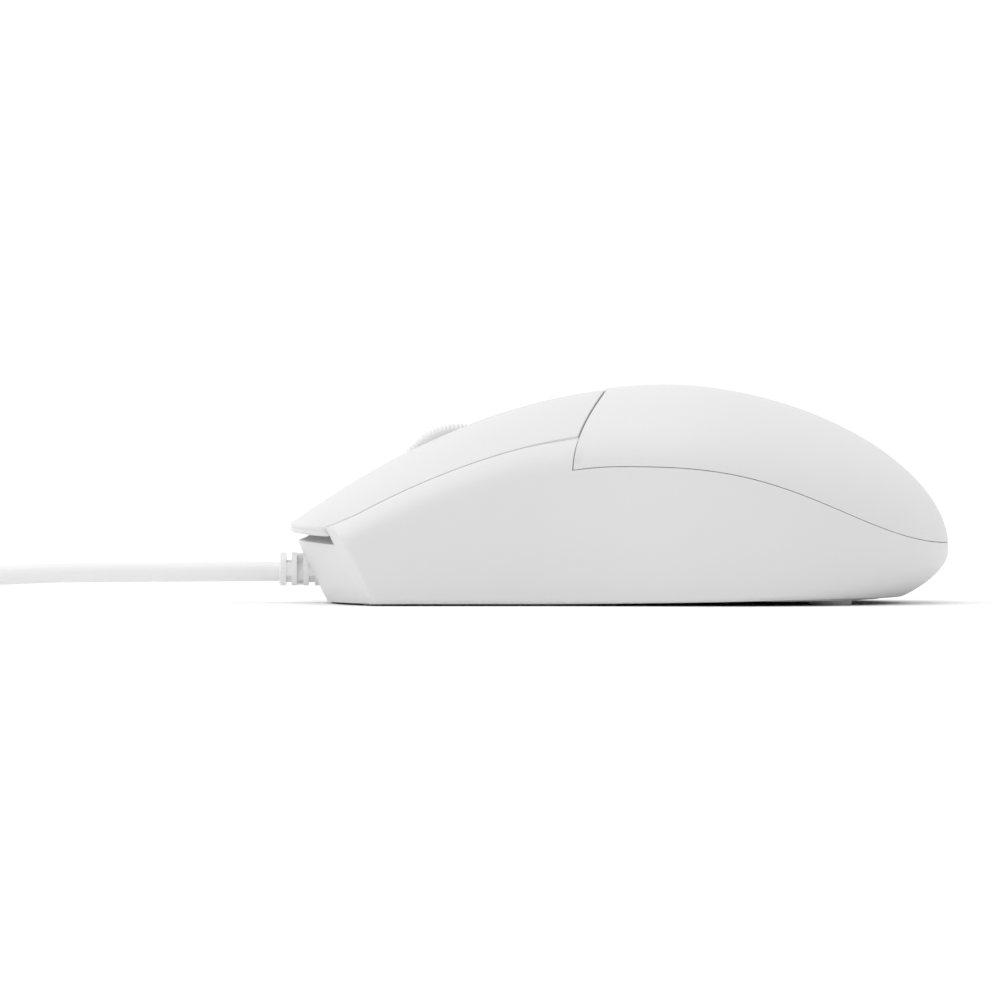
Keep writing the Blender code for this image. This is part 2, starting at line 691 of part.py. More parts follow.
# ---- feet and screws ----
def build_feet(look):
    for name, x, y in FEET:
        prism(name, stadium(x, y, 7.0, 13.0), 0.0, BASE_Z0 - 0.05, look)


def build_screws(look):
    for k, (x, y) in enumerate(BOARD_SCREWS):
        top = BOARD_Z1 + 0.05
        shape = [(2.4, 1.0), (top, 1.0), (top, 2.1), (top + 0.9, 2.1), (top + 1.3, 1.4)]
        turned(f"board_screw_{k + 1}", shape, (x, y, 0.0), "z", look, 14)
    for k, (x, y) in enumerate(CASE_SCREWS):
        turned(f"case_screw_{k + 1}", [(0.9, 2.3), (1.7, 2.3), (1.7, 1.1), (9.0, 1.1), (9.8, 0.4)],
               (x, y, 0.0), "z", look, 14)


# ---- cable and plug ----
def build_relief(look):
    profile = [(-47.6, 1.95), (-47.6, 3.2), (-48.5, 3.2), (-48.5, 3.0), (-53.0, 3.0)]
    profile += [(-53.0, 2.1), (-54.4, 2.1)]
    profile += [(-54.4, 3.0), (-55.6, 3.0), (-55.6, 2.1), (-57.0, 2.1), (-57.0, 2.85), (-58.0, 2.85)]
    profile += [(-58.0, 2.1), (-59.1, 2.1), (-59.1, 2.7), (-60.0, 2.7), (-60.2, 2.5), (-60.2, 1.95)]
    return turned("strain_relief", profile, (0.0, 0.0, CABLE_Z), "x", look, 24, ring=True)


def band(name, corners, low, high, thick, look, axis):
    """A flat band bent round a rectangle. Corners go round it, and thick is added outside."""
    middle = np.mean(np.array(corners, float), axis=0)
    sections = []
    for a, b in corners:
        ga = a + math.copysign(thick, a - middle[0])
        gb = b + math.copysign(thick, b - middle[1])
        if axis == "y":
            sections.append([(a, low, b), (a, high, b), (ga, high, gb), (ga, low, gb)])
        else:
            sections.append([(low, a, b), (high, a, b), (high, ga, gb), (low, ga, gb)])
    return loft_ring(name, sections, look)


def build_cable(looks):
    """The cable inside the body, the straight lead, the tied coil and the tail to the plug."""
    inside = [(-51.5, 0.0, CABLE_Z), (-49.5, 0.0, CABLE_Z), (-47.9, 0.0, CABLE_Z), (-46.7, 0.3, 6.6)]
    inside += [(-46.2, 2.4, 8.7), (-45.2, 6.0, 9.5), (-41.0, 9.0, 9.5), (-36.0, 9.6, 9.3)]
    inside.append((-31.3, 10.4, 9.2))
    tube("cable_inner", eased(inside, 1.6), 1.8, looks["cable"])
    low = 0.5 * CABLE_D + 0.6
    side_y = COIL_Y - COIL_OUTER_R - 0.5 * CABLE_D - 0.3
    lead = [(-51.8, 0.0, CABLE_Z), (-70.0, 0.0, 5.5), (-95.0, 0.0, 5.4), (-112.0, -0.4, 4.9)]
    lead += [(-124.0, -2.0, 3.7), (-136.0, -4.8, low + 0.2), (COIL_X, side_y, low)]
    tube("cable_lead", eased(lead, 7.0), CABLE_D, looks["cable"])
    inner_r, outer_r = COIL_INNER_R, COIL_OUTER_R
    ring = [(COIL_Z0, inner_r + 1.6), (2.6, inner_r), (11.1, inner_r), (COIL_Z1, inner_r + 2.0)]
    ring += [(COIL_Z1, outer_r - 2.0), (11.1, outer_r), (2.6, outer_r), (COIL_Z0, outer_r - 1.6)]
    turned("cable_coil", ring, (COIL_X, COIL_Y, 0.0), "z", looks["cable"], 32, ring=True)
    near, far = COIL_X + inner_r - 0.6, COIL_X + outer_r + 0.3
    band("cable_tie", [(near, 0.55), (far, 0.55), (far, 13.35), (near, 13.35)],
         COIL_Y - 2.2, COIL_Y + 2.2, 0.5, looks["tie"], "y")
    tail = [(-167.5, -0.6, 10.4), (-172.0, 0.0, 8.9), (-178.0, 1.8, 6.6), (-184.0, 4.2, 4.6)]
    tail += [(PLUG_X + 21.4, PLUG_Y, PLUG_Z), (PLUG_X + 14.0, PLUG_Y, PLUG_Z)]
    tube("cable_tail", eased(tail, 5.0), CABLE_D, looks["cable"])


def build_plug(looks):
    """The plug points along -X and lies on its flat side beside the coil."""
    steps = ((20.6, 2.6, 2.4), (19.8, 3.1, 2.8), (13.0, 3.4, 3.0), (11.5, 5.4, 3.45), (1.0, 5.6, 3.5),
             (0.0, 5.2, 3.1))
    points, faces = [], []
    for along, half_y, half_z in steps:
        for k in range(16):
            turn = 2 * math.pi * (k + 0.5) / 16
            c, d = math.cos(turn), math.sin(turn)
            y = half_y * math.copysign(abs(c) ** 0.45, c)
            z = half_z * math.copysign(abs(d) ** 0.45, d)
            points.append((PLUG_X + along, PLUG_Y + y, PLUG_Z + z))
    for i in range(len(steps) - 1):
        for k in range(16):
            m = (k + 1) % 16
            faces.append((i * 16 + k, i * 16 + m, i * 16 + 16 + m, i * 16 + 16 + k))
    faces.append(tuple(range(16)))
    faces.append(tuple(reversed(range(len(points) - 16, len(points)))))
    mould = add_mesh("usb_overmould", points, faces, looks["cable"])
    bore = turned("plug_bore", [(PLUG_X + 13.5, 1.9), (PLUG_X + 30.0, 1.9)], (0.0, PLUG_Y, PLUG_Z),
                  "x", looks["cable"], 16)
    boolean(mould, bore, "DIFFERENCE")
    y, z = 5.7, 1.95
    corners = [(PLUG_Y - y, PLUG_Z - z), (PLUG_Y + y, PLUG_Z - z), (PLUG_Y + y, PLUG_Z + z)]
    corners.append((PLUG_Y - y, PLUG_Z + z))
    band("usb_shell", corners, PLUG_X - 12.4, PLUG_X - 0.15, 0.3, looks["usb_metal"], "x")
    box("usb_tongue", (PLUG_X - 12.0, PLUG_Y - 5.5, PLUG_Z - 1.85),
        (PLUG_X - 0.3, PLUG_Y + 5.5, PLUG_Z + 0.1), looks["usb_tongue"])
    root, bar, tip = PLUG_X - 0.4, PLUG_X - 1.0, PLUG_X - 10.0
    comb = [(bar, PLUG_Y + 4.2), (root, PLUG_Y + 4.2), (root, PLUG_Y - 4.2), (bar, PLUG_Y - 4.2)]
    for k in range(4):
        mid = PLUG_Y - 3.5 + k * 7.0 / 3
        comb += [(bar, mid - 0.5), (tip, mid - 0.5), (tip, mid + 0.5), (bar, mid + 0.5)]
    prism("usb_contacts", comb, PLUG_Z + 0.15, PLUG_Z + 0.45, looks["gold"])


def build_all():
    clear_scene()
    looks = {
        "shell": material("body_white", (0.80, 0.80, 0.80), 0.45),
        "button": material("button_white", (0.80, 0.80, 0.80), 0.42),
        "palm": material("palm_white", (0.79, 0.79, 0.79), 0.5),
        "strip": material("strip_white", (0.78, 0.78, 0.78), 0.4),
        "base": material("base_grey", (0.62, 0.62, 0.63), 0.5),
        "foot": material("ptfe_foot", (0.08, 0.08, 0.08), 0.35),
        "tyre": material("tyre_rubber", (0.55, 0.55, 0.56), 0.7),
        "hub": material("hub_plastic", (0.7, 0.7, 0.7), 0.4),
        "axle": material("axle_steel", (0.6, 0.6, 0.6), 0.3, 1.0),
        "cradle": material("cradle_black", (0.04, 0.04, 0.04), 0.45),
        "spring": material("spring_steel", (0.55, 0.55, 0.55), 0.3, 1.0),
        "switch": material("switch_black", (0.03, 0.03, 0.03), 0.4),
        "plunger": material("plunger_white", (0.75, 0.75, 0.72), 0.4),
        "board": material("board_green", (0.02, 0.16, 0.06), 0.4),
        "chip": material("chip_black", (0.02, 0.02, 0.02), 0.45),
        "lens": material("lens_clear", (0.85, 0.87, 0.88), 0.1, 0.0, 0.8),
        "led": material("led_epoxy", (0.5, 0.5, 0.55), 0.15, 0.0, 0.4),
        "can": material("capacitor_can", (0.5, 0.5, 0.52), 0.25, 1.0),
        "plug_white": material("connector_white", (0.8, 0.8, 0.76), 0.5),
        "cable": material("cable_white", (0.80, 0.80, 0.80), 0.5),
        "relief": material("relief_white", (0.78, 0.78, 0.78), 0.5),
        "tie": material("tie_black", (0.03, 0.03, 0.03), 0.4),
        "usb_metal": material("usb_steel", (0.66, 0.66, 0.67), 0.28, 1.0),
        "usb_tongue": material("usb_tongue_white", (0.8, 0.8, 0.8), 0.4),
        "gold": material("contact_gold", (0.83, 0.62, 0.26), 0.3, 1.0),
        "screw": material("screw_steel", (0.45, 0.45, 0.46), 0.35, 1.0),
    }
    build_side_shell(looks["shell"])
    build_palm_cover(looks["palm"])
    build_button("left_button", -1, looks["button"])
    build_button("right_button", 1, looks["button"])
    build_centre_strip(looks["strip"])
    build_base(looks["base"])
    build_feet(looks["foot"])
    build_board(looks)
    build_screws(looks["screw"])
    build_tyre(looks["tyre"])
    build_hub(looks["hub"])
    turned("wheel_axle", [(-7.2, 0.9), (-7.0, 1.1), (7.0, 1.1), (7.2, 0.9)], (WHEEL_X, 0.0, WHEEL_Z), "y",
           looks["axle"], 16, (WHEEL_X, 0.0, WHEEL_Z))
    build_cradle(looks["cradle"])
    build_spring(looks["spring"])
    build_switch("left", SWITCH_X, -SWITCH_Y, looks["switch"], looks["plunger"])
    build_switch("right", SWITCH_X, SWITCH_Y, looks["switch"], looks["plunger"])
    build_switch("middle", MIDDLE_X, 0.0, looks["switch"], looks["plunger"])
    build_relief(looks["relief"])
    build_cable(looks)
    build_plug(looks)


build_all()
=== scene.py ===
"""The wired computer mouse: its looks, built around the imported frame. Sizes are in millimetres."""
import math

import bmesh
import bpy
import numpy as np
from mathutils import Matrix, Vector


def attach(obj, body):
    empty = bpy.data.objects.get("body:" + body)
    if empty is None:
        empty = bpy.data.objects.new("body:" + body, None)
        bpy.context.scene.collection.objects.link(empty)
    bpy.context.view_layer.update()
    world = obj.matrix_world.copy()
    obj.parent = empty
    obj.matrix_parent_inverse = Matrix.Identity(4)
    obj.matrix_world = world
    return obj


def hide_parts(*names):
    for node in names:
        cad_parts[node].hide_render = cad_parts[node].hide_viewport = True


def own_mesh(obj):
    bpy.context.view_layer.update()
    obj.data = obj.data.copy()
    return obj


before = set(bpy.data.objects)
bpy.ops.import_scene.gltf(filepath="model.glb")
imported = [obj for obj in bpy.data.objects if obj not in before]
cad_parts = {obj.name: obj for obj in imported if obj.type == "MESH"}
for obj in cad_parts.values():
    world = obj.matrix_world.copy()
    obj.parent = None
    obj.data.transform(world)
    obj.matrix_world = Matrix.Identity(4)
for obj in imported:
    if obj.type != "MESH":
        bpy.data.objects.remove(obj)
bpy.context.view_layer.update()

MM = 0.001
QUARTER = 0.5 * math.pi
TURN = 2 * math.pi

# ---- camera and light ----
VIEW_TARGET = Vector((-21.1, 0.0, 18.2))
VIEW_AZIMUTH = -0.5
VIEW_ELEVATION = 0.6
VIEW_DISTANCE = 1500.0
LENS = 304.6
FRONT_LIGHT = 0.65        # the studio's brightness on the camera's side
BACK_LIGHT = 1.04         # and behind the mouse
SIDE_LIGHT = 0.30         # how much brighter it is at the front of the mouse
TOP_LIGHT = 0.80
TOP_LIGHT_LEAN = (12.0, -22.0)
FLOOR_SIZE = 12.0         # in metres
FLOOR_WHITE = 0.93

# ---- the body's outline, close to the CAD model's ----
FRONT_TIP_X = -58.3
REAR_X = 58.3
CREST_X = 9.0             # the ridge is highest here
CREST_Z = 38.7
LIP_DROP = 24.6           # how far the ridge falls from the crest to the front tip
REAR_EDGE_Z = 10.8        # the height of the ridge and the side seam at the very rear
REAR_POWER = 1.78         # how full the ridge is behind the crest
EQUATOR_X = -1.0          # the side seam is highest here
EQUATOR_Z = 24.3
EQUATOR_DROP = 14.8       # how far it falls over a run towards the front
EQUATOR_RUN = 49.0
EQUATOR_LOW = 9.3         # but no lower than this
HALF_WIDTH = 31.0
WIDE_X = 18.0             # the body is widest here
WAIST = 27.6              # its half width at the waist and ahead of it
WAIST_RUN = 36.0          # from the widest place to the waist
TAIL_POWER = 2.2          # how full the plan outline is at the tail
WALL = 1.8

# ---- the front wall and the buttons' lip ----
NOSE_X = -56.8            # the front wall in the middle
NOSE_SWEEP = 8.6          # how far the front wall runs back towards its corners
NOSE_ROUND = 1.0
POST_Y = 24.35            # the front opening under the buttons ends here
POST_LEAN = 0.5           # how the wall beside the opening leans forward as it rises
LEDGE_Z = 10.6            # the top of the front wall in the opening
LEDGE_RISE = 0.5          # how much higher the front wall is in the middle
LIP_LEVEL = 14.2          # the lip's height in the middle
LIP_FALL = 0.135          # and how it falls towards its corners
LIP_ROUND = 0.45
LIP_HALF = 0.92           # half the height of the lip's front face

# ---- the seams ----
SEAM_X = -2.1             # the palm cover's front seam in the middle
SEAM_SWEEP = 6.6          # how far it runs forward towards the sides
SEAM_SIDE_X = -6.0        # the body's half width here is the seam's reach
PALM_START = -8.75        # the shoulder ends here, and the palm cover's seat begins
PALM_GAP = 0.36           # between the buttons and the palm cover
SEAT_FALL = 0.35          # how far the palm cover's seat falls inwards, so that no light passes
EDGE_SHARE = 0.90         # the buttons' outer edge, as a share of the half width
EDGE_TUCK = 0.7           # how far that edge turns in at the lip
EDGE_TUCK_X = -46.0
EDGE_TUCK_RUN = 5.0
RIM_GAP = 0.2
RIM_STEPS = 9
BUTTON_WALL = 1.7
BUTTON_REAR_X = -7.5      # the rear corner of the buttons' outer edge

# ---- the strip between the buttons, and the wheel's slot ----
STRIP_HALF = 5.4
STRIP_SUNK = 0.8
STRIP_THICK = 1.0
STRIP_REAR_X = -2.6
SLOT_HALF = 4.2
SLOT_X0 = -41.0
SLOT_X1 = -16.8

# ---- the wheel ----
WHEEL_X = -28.5
WHEEL_Z = 20.5
WHEEL_R = 11.4
WHEEL_TEETH = 95
TYRE_HALF = 3.4
TYRE_BORE = 8.5
TOOTH = (0.0, 0.03, 0.2, 0.42, 0.42, 0.2, 0.03)    # the groove's depth along one rib and groove

# ---- the spring under the wheel's cradle ----
SPRING_AT = (-41.8, -5.8)
SPRING_LOW = 6.45
SPRING_HIGH = 13.6
SPRING_R = 1.35
SPRING_WIRE = 0.25
SPRING_TURNS = 6

# ---- the strain relief, the cable and its plug ----
RELIEF_X = -60.2
RELIEF_END_X = -51.6
RELIEF_Z = 6.0
RELIEF_R = 2.95
RELIEF_ROUND = 0.25
RELIEF_BORE = 1.82
RELIEF_FLOOR = 1.98       # the radius at the bottom of a gap between two rings
RELIEF_GAPS = ((-58.95, -58.05, 0), (-57.05, -55.95, 1), (-54.95, -53.95, 0))
BRIDGE_HALF = 1.3
BRIDGE_SUNK = 0.12
CABLE_Z = 5.6
CABLE_D = 3.5
CABLE_LIFT = 0.6          # the cable's clearance over the floor
COIL_X = -150.0
COIL_Y = 22.0
COIL_LAYERS = ((24.45, 13.95), (15.7, 22.7)) * 2    # the first and last radius of each layer
COIL_TURNS = (4, 3) * 2
COIL_POINTS = 24          # in one turn
LAYER_RISE = 3.05
PLUG_X = -210.6
PLUG_Y = 6.0
PLUG_Z = 3.6

# ---- materials and shading ----
TONE_SCALE = 45.0         # the slow changes of tone, per metre
GLOSS_SPREAD = 0.05
GRAIN_STRENGTH = 0.6
CRISP_ANGLE = 40.0        # an edge sharper than this isn't smoothed


def add_camera():
    azimuth, elevation = math.radians(VIEW_AZIMUTH), math.radians(VIEW_ELEVATION)
    back = Vector((math.sin(azimuth) * math.cos(elevation),
                   -math.cos(azimuth) * math.cos(elevation), math.sin(elevation)))
    data = bpy.data.cameras.new("camera")
    data.lens = LENS
    data.sensor_width = 36.0
    data.clip_start = 0.01
    data.clip_end = 20.0
    camera = bpy.data.objects.new("camera", data)
    camera.location = (VIEW_TARGET + VIEW_DISTANCE * back) * MM
    camera.rotation_euler = (-back).to_track_quat("-Z", "Y").to_euler()
    bpy.context.scene.collection.objects.link(camera)
    bpy.context.scene.camera = camera


# ---- materials ----
def grey(value):
    return (value, value, value)


def mapped(tree, source, from_low, from_high, to_low, to_high):
    """The source's values taken from the first range to the second."""
    ramp = tree.nodes.new("ShaderNodeMapRange")
    ramp.inputs["From Min"].default_value = from_low
    ramp.inputs["From Max"].default_value = from_high
    ramp.inputs["To Min"].default_value = to_low
    ramp.inputs["To Max"].default_value = to_high
    tree.links.new(source, ramp.inputs["Value"])
    return ramp.outputs["Result"]


def noise(tree, place, scale, detail):
    made = tree.nodes.new("ShaderNodeTexNoise")
    made.inputs["Scale"].default_value = scale
    made.inputs["Detail"].default_value = detail
    tree.links.new(place, made.inputs["Vector"])
    return made.outputs["Fac"]


def moulded(name, colour, roughness, grain, relief, vary, coat=0.0, metallic=0.0):
    """Moulded plastic: a fine surface grain, with slow changes of tone and gloss.

    The grain's size and its relief are in millimetres. The colour varies by the given share.
    """
    material = bpy.data.materials.new(name)
    material.use_nodes = True
    tree = material.node_tree
    nodes, links, shader = tree.nodes, tree.links, tree.nodes["Principled BSDF"]
    shader.inputs["Metallic"].default_value = metallic
    shader.inputs["Coat Weight"].default_value = coat
    place = nodes.new("ShaderNodeTexCoord").outputs["Object"]
    slow = noise(tree, place, TONE_SCALE, 3.0)
    mix = nodes.new("ShaderNodeMix")
    mix.data_type = "RGBA"
    mix.inputs[6].default_value = (*[c * (1.0 - vary) for c in colour], 1.0)
    mix.inputs[7].default_value = (*[min(1.0, c * (1.0 + vary)) for c in colour], 1.0)
    links.new(slow, mix.inputs[0])
    links.new(mix.outputs[2], shader.inputs["Base Color"])
    fine = noise(tree, place, 1.0 / (grain * MM), 2.0)
    gloss = mapped(tree, fine, 0.0, 1.0, roughness - GLOSS_SPREAD, roughness + GLOSS_SPREAD)
    links.new(gloss, shader.inputs["Roughness"])
    bump = nodes.new("ShaderNodeBump")
    bump.inputs["Strength"].default_value = GRAIN_STRENGTH
    bump.inputs["Distance"].default_value = relief * MM
    links.new(fine, bump.inputs["Height"])
    links.new(bump.outputs["Normal"], shader.inputs["Normal"])
    return material


def plated(name, colour, roughness, grain, relief, vary):
    """Bare or plated metal, with the same kinds of grain and change."""
    return moulded(name, colour, roughness, grain, relief, vary, 0.0, 1.0)


# ---- mesh helpers ----
def smooth(v):
    v = min(1.0, max(0.0, v))
    return v * v * (3.0 - 2.0 * v)


def piece(name, points, faces, look, body, stands_for, bevel=0.0, angle=35.0):
    """A closed mesh piece. Its edges sharper than the angle are rounded by the bevel."""
    mesh = bpy.data.meshes.new(name)
    mesh.from_pydata([tuple(v * MM for v in p) for p in points], [],
                     [tuple(int(v) for v in f) for f in faces])
    work = bmesh.new()
    work.from_mesh(mesh)
    bmesh.ops.remove_doubles(work, verts=work.verts, dist=2e-7)
    bmesh.ops.recalc_face_normals(work, faces=work.faces)
    if work.calc_volume(signed=True) < 0:
        bmesh.ops.reverse_faces(work, faces=work.faces)
    if bevel:
        limit = math.radians(angle)
        sharp = [e for e in work.edges
                 if len(e.link_faces) == 2 and e.calc_face_angle() > limit]
        bmesh.ops.bevel(work, geom=sharp, offset=bevel * MM, offset_type="OFFSET", segments=3,
                        profile=0.5, affect="EDGES", clamp_overlap=True)
    for face in work.faces:
        face.smooth = True
    work.to_mesh(mesh)
    work.free()
    made = bpy.data.objects.new(name, mesh)
    mesh.materials.append(look)
    bpy.context.scene.collection.objects.link(made)
    keep_edges(mesh)
    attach(made, body)
    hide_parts(*stands_for)
    return made


def keep_edges(mesh):
    """Sharp edges stay crisp under smooth shading."""
    work = bmesh.new()
    work.from_mesh(mesh)
    limit = math.radians(CRISP_ANGLE)
    for edge in work.edges:
        edge.smooth = len(edge.link_faces) != 2 or edge.calc_face_angle() < limit
    work.to_mesh(mesh)
    work.free()


def between(table, extra):
    """More points on a smooth curve through the table's points."""
    table = np.array(table, float)
    padded = np.vstack([2 * table[0] - table[1], table, 2 * table[-1] - table[-2]])
    found = []
    for i in range(1, len(padded) - 2):
        a, b, c, d = padded[i - 1 : i + 3]
        for k in range(extra):
            t = k / extra
            found.append(0.5 * (2 * b + (c - a) * t + (2 * a - 5 * b + 4 * c - d) * t**2
                                + (3 * b - a - 3 * c + d) * t**3))
    found.append(table[-1])
    return found


def ring_faces(many, each, closed=True):
    """The sides between matching rings of points, and back to the first ring if closed."""
    faces = []
    for i in range(many if closed else many - 1):
        j = (i + 1) % many
        for k in range(each):
            m = (k + 1) % each
            faces.append((i * each + k, i * each + m, j * each + m, j * each + k))
    return faces


def ring_piece(name, sections, look, body, stands_for, bevel=0.0):
    points = [p for section in sections for p in section]
    faces = ring_faces(len(sections), len(sections[0]))
    return piece(name, points, faces, look, body, stands_for, bevel)


def grid_faces(columns, rows, skip=()):
    faces = []
    for i in range(columns - 1):
        for j in range(rows - 1):
            if (i, j) not in skip:
                a = i * rows + j
                faces.append((a, a + 1, a + rows + 1, a + rows))
    return faces


def two_skins(name, outer, inner, faces, look, body, stands_for, bevel, angle):
    """Closes two matching skins with a rim along every open edge."""
    count = len(outer)
    first = {}
    same = [first.setdefault(tuple(round(float(v), 4) for v in p), i)
            for i, p in enumerate(outer)]
    faces = [tuple(dict.fromkeys(same[v] for v in face)) for face in faces]
    faces = [face for face in faces if len(face) > 2]
    edges = {(a, b) for face in faces for a, b in zip(face, face[1:] + face[:1])}
    every = list(faces) + [tuple(v + count for v in reversed(face)) for face in faces]
    every += [(b, a, a + count, b + count) for a, b in sorted(edges) if (b, a) not in edges]
    points = list(outer) + list(inner)
    return piece(name, points, every, look, body, stands_for, bevel, angle)


# ---- the master surface of the body ----
def ridge(x):
    """The height of the body's middle line."""
    if x < CREST_X:
        return CREST_Z - LIP_DROP * ((CREST_X - x) / (CREST_X - FRONT_TIP_X)) ** 2
    reach = min(1.0, (x - CREST_X) / (REAR_X - CREST_X))
    share = (1.0 - reach**REAR_POWER) ** (1.0 / REAR_POWER)
    return REAR_EDGE_Z + (CREST_Z - REAR_EDGE_Z) * share


def equator(x):
    """The height of the seam along the side, where the top surface begins."""
    if x < EQUATOR_X:
        drop = EQUATOR_DROP * ((EQUATOR_X - x) / EQUATOR_RUN) ** 1.7
        return max(EQUATOR_LOW, EQUATOR_Z - drop)
    reach = min(1.0, (x - EQUATOR_X) / (REAR_X - EQUATOR_X))
    return EQUATOR_Z - (EQUATOR_Z - REAR_EDGE_Z) * math.sin(QUARTER * reach**1.45) ** 2


def half_width(x):
    if x >= WIDE_X:
        reach = min(1.0, (x - WIDE_X) / (REAR_X - WIDE_X))
        return HALF_WIDTH * (1.0 - reach**TAIL_POWER) ** (1.0 / TAIL_POWER)
    reach = min(1.0, (WIDE_X - x) / WAIST_RUN)
    return WAIST + (HALF_WIDTH - WAIST) * math.cos(QUARTER * reach) ** 2


def top_at(x, share):
    """The top surface's height at this share of the half width."""
    level = min(equator(x), ridge(x))
    return level + (ridge(x) - level) * math.sqrt(1.0 - share * share)


def top_height(x, y):
    wide = max(half_width(x), 1e-6)
    return top_at(x, min(1.0, abs(y) / wide))


def top_normal(x, y):
    step = 0.05
    dx = (top_height(x + step, y) - top_height(x - step, y)) / (2 * step)
    dy = (top_height(x, y + step) - top_height(x, y - step)) / (2 * step)
    return np.array([-dx, -dy, 1.0]) / math.sqrt(dx * dx + dy * dy + 1.0)


def seam_x(y):
    return SEAM_X - SEAM_SWEEP * min(1.0, abs(y) / half_width(SEAM_SIDE_X)) ** 2


def lip_x(y):
    """Where the top surface meets the plane of the lip's straight edge."""
    near, far = FRONT_TIP_X, FRONT_TIP_X + 14.0
    for _ in range(30):
        x = 0.5 * (near + far)
        if top_height(x, y) < LIP_LEVEL - LIP_FALL * (x - FRONT_TIP_X):
            near = x
        else:
            far = x
    return near


def edge_y(x):
    """The buttons' outer edge."""
    return EDGE_SHARE * half_width(x) - EDGE_TUCK * smooth((EDGE_TUCK_X - x) / EDGE_TUCK_RUN)


# ---- the plan outline ----
def plan_normal(x, y):
    """The outward direction of the plan outline behind the front seam."""
    if x > WIDE_X:
        run = REAR_X - WIDE_X
        nx = ((x - WIDE_X) / run) ** (TAIL_POWER - 1) / run
        ny = (abs(y) / HALF_WIDTH) ** (TAIL_POWER - 1) / HALF_WIDTH
    else:
        nx = -(half_width(x + 0.1) - half_width(x - 0.1)) / 0.2
        ny = 1.0
    size = math.hypot(nx, ny)
    return nx / size, math.copysign(ny / size, y) if abs(y) > 1e-6 else 0.0


def tail_outline(steps):
    found = []
    for i in range(steps + 1):
        turn = QUARTER * i / steps
        x = WIDE_X + (REAR_X - WIDE_X) * math.sin(turn) ** (2.0 / TAIL_POWER)
        found.append((x, HALF_WIDTH * max(0.0, math.cos(turn)) ** (2.0 / TAIL_POWER)))
    return found


def nose_x(y):
    return NOSE_X + NOSE_SWEEP * (abs(y) / WAIST) ** 2


def place_on(spot, front, side, rear):
    """The point of the plan outline at this spot, moved in by the three offsets."""
    kind, v = spot
    if kind == "front":
        return nose_x(v) + front, v * (1.0 - side / WAIST)
    if kind == "corner":
        y = WAIST - side - NOSE_ROUND * (1.0 - math.sin(v))
        return nose_x(y) + front + NOSE_ROUND * (1.0 - math.cos(v)), y
    if kind == "side":
        start = nose_x(WAIST) + NOSE_ROUND
        x = v + front * (1.0 - smooth((v - start) / 16.0))
        return x, half_width(v) - side
    c, d = math.sin(v), max(0.0, math.cos(v))
    x = WIDE_X + (REAR_X - WIDE_X - rear) * c ** (2.0 / TAIL_POWER)
    return x, (HALF_WIDTH - side) * d ** (2.0 / TAIL_POWER)


def half_outline():
    """Spots along the plan outline, from the middle of the nose to the middle of the tail."""
    spots = [("front", y) for y in np.linspace(0.0, POST_Y - 0.1, 25)]
    spots += [("front", y) for y in np.linspace(POST_Y + 0.05, WAIST - NOSE_ROUND, 5)]
    spots += [("corner", QUARTER * i / 10) for i in range(1, 11)]
    start = nose_x(WAIST) + NOSE_ROUND
    spots += [("side", x) for x in np.linspace(start, -9.2, 36)[1:]]
    spots += [("side", PALM_START), ("side", PALM_START + 0.0001)]
    spots += [("side", x) for x in np.linspace(PALM_START, WIDE_X, 21)[1:]]
    spots += [("tail", QUARTER * i / 56) for i in range(1, 57)]
    return spots


# ---- the side shell ----
def section_at(spot):
    """One closed cut through the shell's wall: up the outside, over the rim, down the inside."""
    kind, v = spot
    px, py = place_on(spot, 0.0, 0.0, 0.0)
    ahead = {"front": 1.0, "corner": 1.0 - smooth(v / QUARTER)}.get(kind, 0.0)
    behind = smooth(v / 1.2) if kind == "tail" else 0.0
    beside = 1.0 - ahead - behind
    low = 0.35 + 0.8 * smooth((px + 17.0) / 67.0)
    top = equator(px)
    ledge = kind == "front" and v < POST_Y
    front_top = LEDGE_Z - 0.2
    crown = front_top + (LEDGE_RISE * (1.0 - (v / POST_Y) ** 2) if ledge else 0.0)
    forward = 0.0
    if kind == "corner" or (kind == "front" and not ledge):
        crown = top_height(px, py) - 0.5
        forward = POST_LEAN * max(0.0, crown - front_top)
        px -= forward
    # Up the outside: the height at the side, the front and the rear, and how far in each is.
    heights = [
        (low, 0.35, 1.1),
        (low, 0.35, 1.15),
        (low + 0.35, 0.8, 1.55),
        (low + 1.2, 2.1, 3.6),
        (0.4 * top, 5.2, 6.0),
        (0.75 * top, 8.3, 8.2),
        (top - 0.4, crown, top - 0.4),
        (top - 0.06, crown + 0.2, top - 0.06),
    ]
    insets = [
        (1.9, 6.2, 11.3),
        (1.0, 5.2, 9.0),
        (0.7, 4.9, 7.4),
        (0.55, 4.2, 4.0),
        (0.35, 2.75, 1.4),
        (0.12, 1.1, 0.1),
        (0.0, -forward, 0.0),
        (0.0, -forward, 0.0),
    ]
    rows = []
    for (hs, hf, hr), (side, front, rear) in zip(heights, insets):
        rows.append((front, side, rear, beside * hs + ahead * hf + behind * hr))
    rows = between(rows[:-1], 4) + [rows[-1]]
    found = [(*place_on(spot, front, side, rear), z) for front, side, rear, z in rows]
    found += rim_at(spot, px, py, ledge)
    # Down the inside: how far in at the side, the front and the rear, then the two heights.
    inside = [
        (1.8, 2.2, 1.8, top - 0.7, 9.5),
        (1.95, 2.9, 1.95, 0.75 * top, 8.6),
        (2.2, 4.5, 2.9, 0.42 * top, 6.0),
        (2.45, 6.1, 5.0, low + 1.9, 3.2),
        (2.4, 7.2, 11.0, low + 1.2, 1.9),
    ]
    for side, front, rear, z, front_z in inside:
        place = place_on(spot, front, side, rear)
        found.append((*place, (1.0 - ahead) * z + ahead * front_z))
    return found


